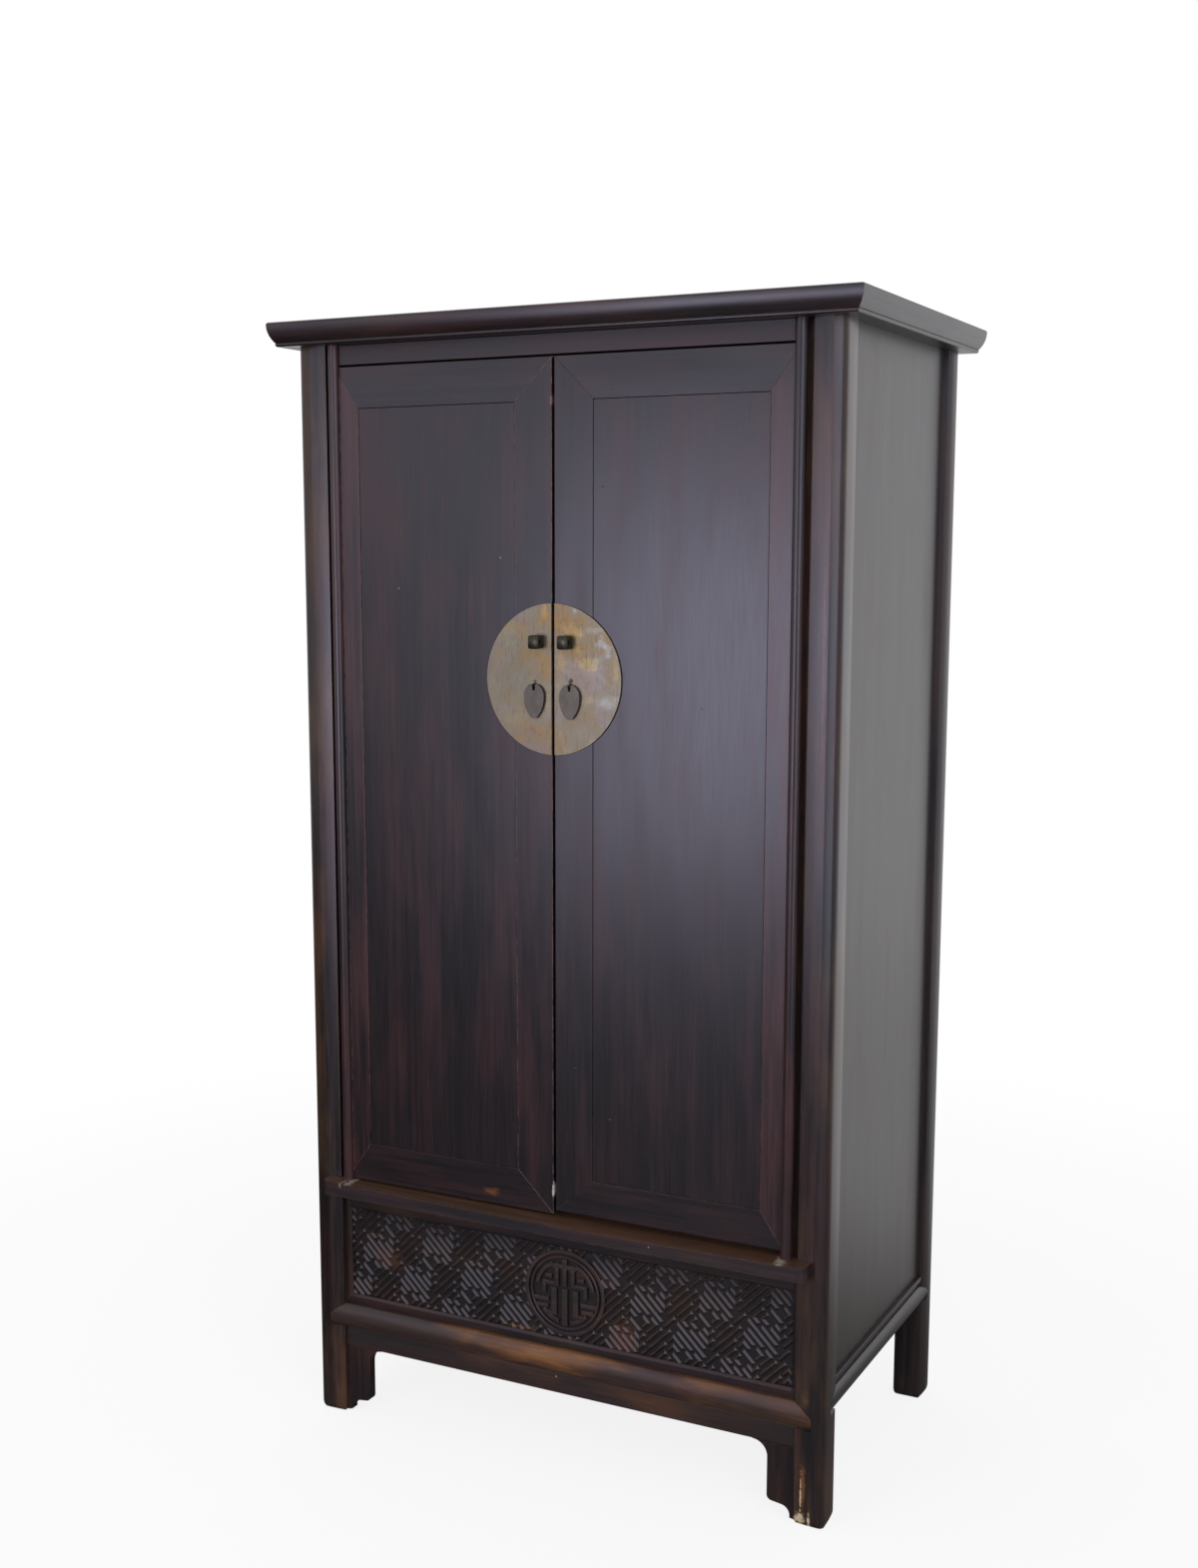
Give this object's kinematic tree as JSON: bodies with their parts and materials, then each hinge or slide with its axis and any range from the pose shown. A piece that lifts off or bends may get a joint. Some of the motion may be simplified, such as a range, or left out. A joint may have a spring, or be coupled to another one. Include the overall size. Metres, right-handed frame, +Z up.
{
  "type": "chinese book cabinet",
  "caption": "Tall book cabinet of dark lacquered timber with paired doors, a moulded cap, a round brass lock plate, leaf pulls and a carved fret frieze under the doors.",
  "frame": {"origin": "on the floor, under the middle of the cabinet", "axes": "+X to the right of someone facing the doors, +Y to the back, +Z up"},
  "size_m": [1, 0.632, 1.85],
  "materials": {
    "dark_lacquered_wood": "dark brown-black lacquer worn to red-brown on the edges",
    "worn_inner_wood": "plain brown timber, unlacquered inside and on the back",
    "aged_brass": "mottled aged brass with orange and grey patches"
  },
  "bodies": {
    "carcase": {"front_left_post": "dark_lacquered_wood", "front_right_post": "dark_lacquered_wood", "back_left_post": "dark_lacquered_wood", "back_right_post": "dark_lacquered_wood", "cap_front_rail": "dark_lacquered_wood", "cap_back_rail": "dark_lacquered_wood", "cap_left_end": "dark_lacquered_wood", "cap_right_end": "dark_lacquered_wood", "cap_panel": "dark_lacquered_wood", "cap_batten": "worn_inner_wood", "lintel": "dark_lacquered_wood", "ledge_rail": "dark_lacquered_wood", "front_bottom_rail": "dark_lacquered_wood", "left_bottom_rail": "dark_lacquered_wood", "right_bottom_rail": "dark_lacquered_wood", "left_side_panel": "dark_lacquered_wood", "right_side_panel": "dark_lacquered_wood", "back_bottom_rail": "worn_inner_wood", "back_middle_rail": "worn_inner_wood", "back_top_rail": "worn_inner_wood", "back_lower_panel": "worn_inner_wood", "back_upper_panel": "worn_inner_wood", "front_apron": "dark_lacquered_wood", "left_spandrel": "dark_lacquered_wood", "right_spandrel": "dark_lacquered_wood", "frieze_bottom_strip": "dark_lacquered_wood", "frieze_right_strip": "dark_lacquered_wood", "frieze_top_strip": "dark_lacquered_wood", "frieze_left_strip": "dark_lacquered_wood", "carved_frieze": "dark_lacquered_wood", "bottom_board": "worn_inner_wood", "floor_board": "worn_inner_wood", "lower_shelf": "worn_inner_wood", "upper_shelf": "worn_inner_wood", "lower_left_bearer": "worn_inner_wood", "lower_right_bearer": "worn_inner_wood", "upper_left_bearer": "worn_inner_wood", "upper_right_bearer": "worn_inner_wood"},
    "left_door": {"left_door_panel": "dark_lacquered_wood", "left_door_upper_batten": "worn_inner_wood", "left_door_lower_batten": "worn_inner_wood", "left_door_top_rail": "dark_lacquered_wood", "left_door_bottom_rail": "dark_lacquered_wood", "left_lock_stile": "dark_lacquered_wood", "left_pivot_stile": "dark_lacquered_wood", "left_lock_plate": "aged_brass", "left_lock_boss": "aged_brass", "left_pull_eye": "aged_brass"},
    "right_door": {"right_door_panel": "dark_lacquered_wood", "right_door_upper_batten": "worn_inner_wood", "right_door_lower_batten": "worn_inner_wood", "right_door_top_rail": "dark_lacquered_wood", "right_door_bottom_rail": "dark_lacquered_wood", "right_lock_stile": "dark_lacquered_wood", "right_pivot_stile": "dark_lacquered_wood", "right_lock_plate": "aged_brass", "right_lock_boss": "aged_brass", "right_pull_eye": "aged_brass"},
    "left_pull": {"left_pull": "aged_brass"},
    "right_pull": {"right_pull": "aged_brass"}
  },
  "joints": [
    {"name": "left_door_hinge", "type": "hinge", "parent": "carcase", "child": "left_door", "pos_m": [-0.397, -0.277, 1.105], "axis": [0, 0, -1], "range_deg": [0, 165]},
    {"name": "right_door_hinge", "type": "hinge", "parent": "carcase", "child": "right_door", "pos_m": [0.397, -0.277, 1.105], "axis": [0, 0, 1], "range_deg": [0, 165]},
    {"name": "left_pull_swing", "type": "hinge", "parent": "left_door", "child": "left_pull", "pos_m": [-0.031, -0.2836, 1.282], "axis": [-1, 0, 0], "range_deg": [0, 120]},
    {"name": "right_pull_swing", "type": "hinge", "parent": "right_door", "child": "right_pull", "pos_m": [0.031, -0.2836, 1.282], "axis": [-1, 0, 0], "range_deg": [0, 120]}
  ]
}
